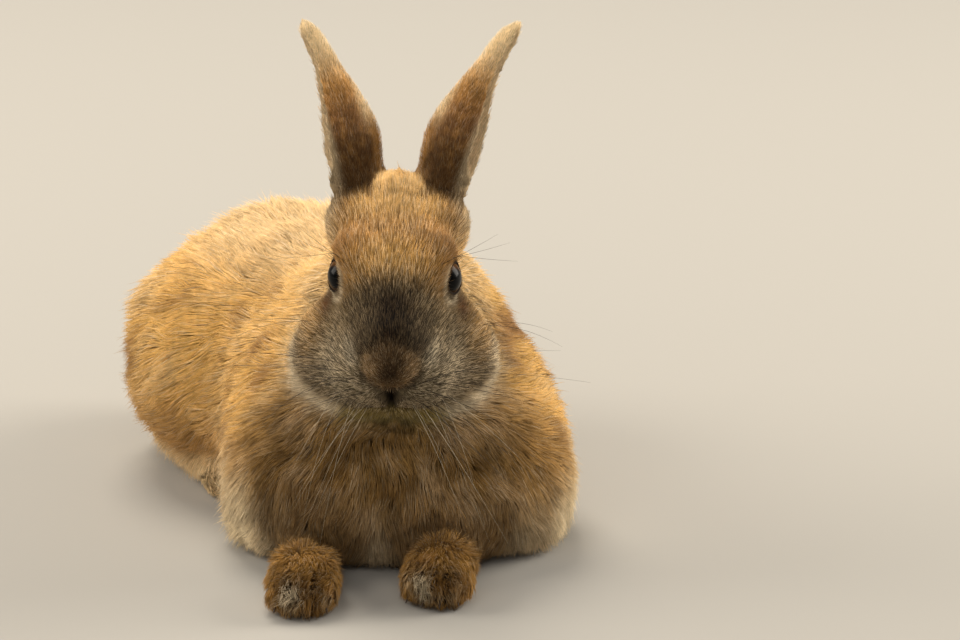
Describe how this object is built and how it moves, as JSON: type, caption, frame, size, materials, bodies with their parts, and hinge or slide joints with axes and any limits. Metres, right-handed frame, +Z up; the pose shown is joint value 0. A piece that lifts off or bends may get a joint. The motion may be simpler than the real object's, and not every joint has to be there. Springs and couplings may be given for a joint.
{
  "type": "rabbit",
  "caption": "Life-size still model of a domestic rabbit lying on its chest with its head raised and its ears upright, in a fawn agouti coat.",
  "frame": {"origin": "on the floor, under the middle of the bounding box", "axes": "+Z up, -Y the way the rabbit looks, +X its left side"},
  "size_m": [0.2036, 0.2964, 0.2203],
  "materials": {
    "coat_fawn": "fawn fur, darker below the tips",
    "coat_buff": "grey-buff fur with pale tips",
    "coat_dusky": "short ticked fur, sooty on the nose, grey on the cheeks",
    "coat_russet": "short russet fur",
    "coat_cream": "cream fur",
    "eye": "dark brown, wet and glossy"
  },
  "bodies": {
    "root": {"trunk": "coat_fawn", "neck": "coat_buff", "head": "coat_dusky", "ear_left": "coat_buff", "ear_right": "coat_buff", "eye_left": "eye", "eye_right": "eye", "foreleg_left": "coat_buff", "foreleg_right": "coat_buff", "forepaw_left": "coat_russet", "forepaw_right": "coat_russet", "hindleg_left": "coat_fawn", "hindleg_right": "coat_fawn", "hindfoot_left": "coat_cream", "hindfoot_right": "coat_cream", "tail": "coat_cream"}
  },
  "joints": []
}
